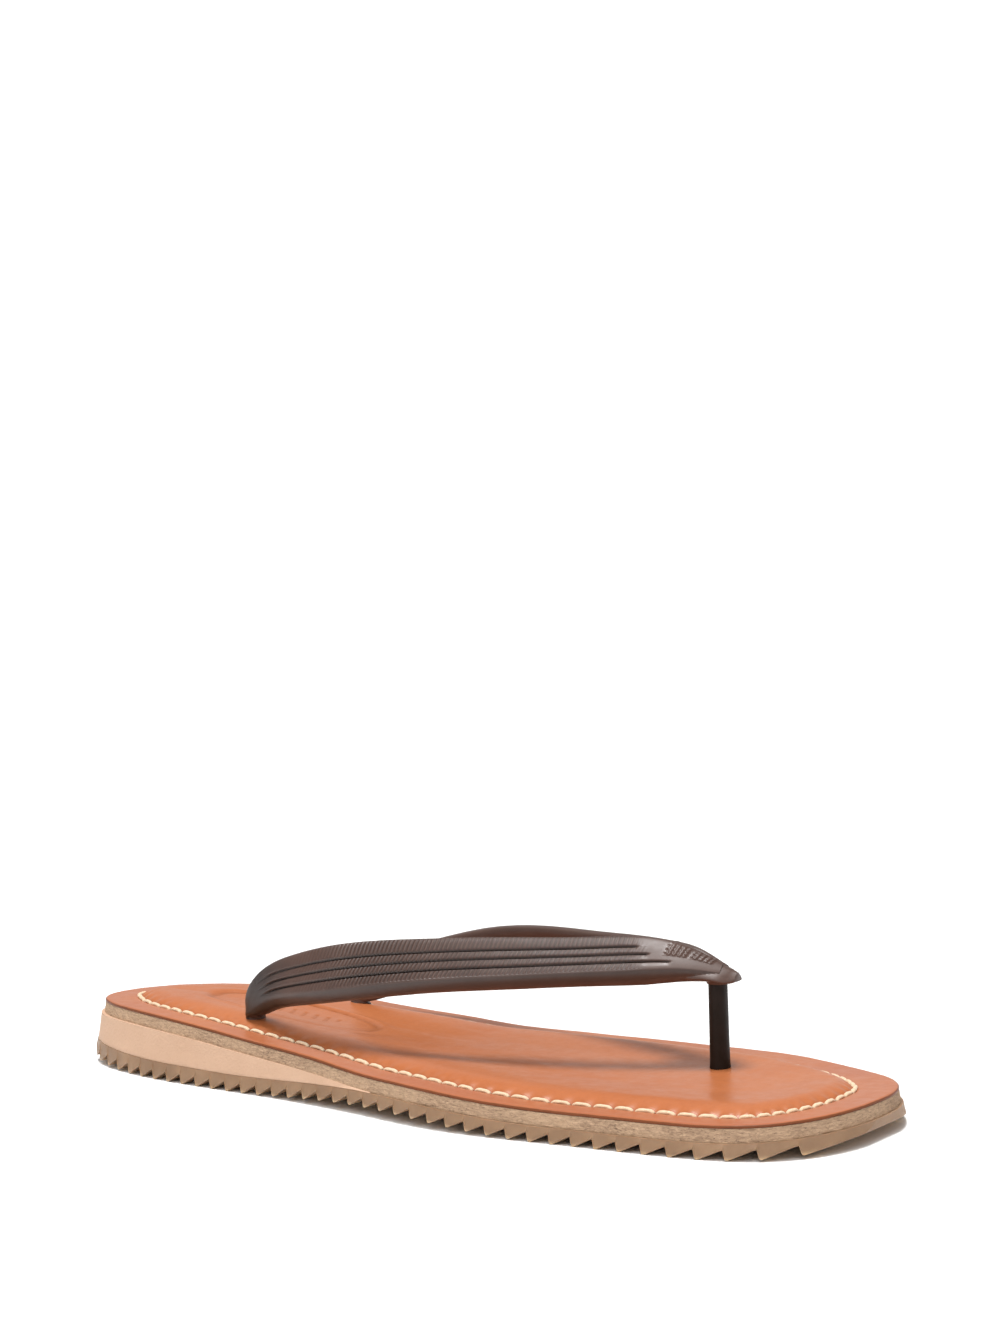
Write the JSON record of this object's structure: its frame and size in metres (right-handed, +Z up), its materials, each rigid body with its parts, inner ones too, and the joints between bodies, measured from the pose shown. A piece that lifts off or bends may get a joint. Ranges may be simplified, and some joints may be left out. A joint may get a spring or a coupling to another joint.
{
  "type": "flip flop",
  "caption": "Right-foot flip flop with a stitched leather footbed on a heel wedge and a saw-tooth rubber outsole, and a moulded rubber strap with a toe post.",
  "frame": {"origin": "centre of the shoe's outline on the ground, level with the lowest tips of the tread", "axes": "+Z up, -Y towards the toes, +Y towards the heel, +X towards the big-toe side of this right-foot shoe"},
  "size_m": [0.097, 0.2602, 0.0452],
  "materials": {
    "outsole": "slightly glossy gum rubber",
    "heel_wedge": "matte pebbled microcellular rubber",
    "midsole": "raw fibrous bonded leather board",
    "footbed_foam": "matte open-cell foam",
    "insole_cover": "semi-gloss full-grain leather",
    "needle_thread": "waxed cream thread",
    "bobbin_thread": "waxed cream thread",
    "strap": "matte moulded rubber",
    "toe_post": "satin moulded rubber"
  },
  "bodies": {
    "root": {"outsole": "outsole", "heel_wedge": "heel_wedge", "midsole": "midsole", "footbed_foam": "footbed_foam", "insole_cover": "insole_cover", "needle_thread": "needle_thread", "bobbin_thread": "bobbin_thread", "strap": "strap", "toe_post": "toe_post"}
  },
  "joints": []
}
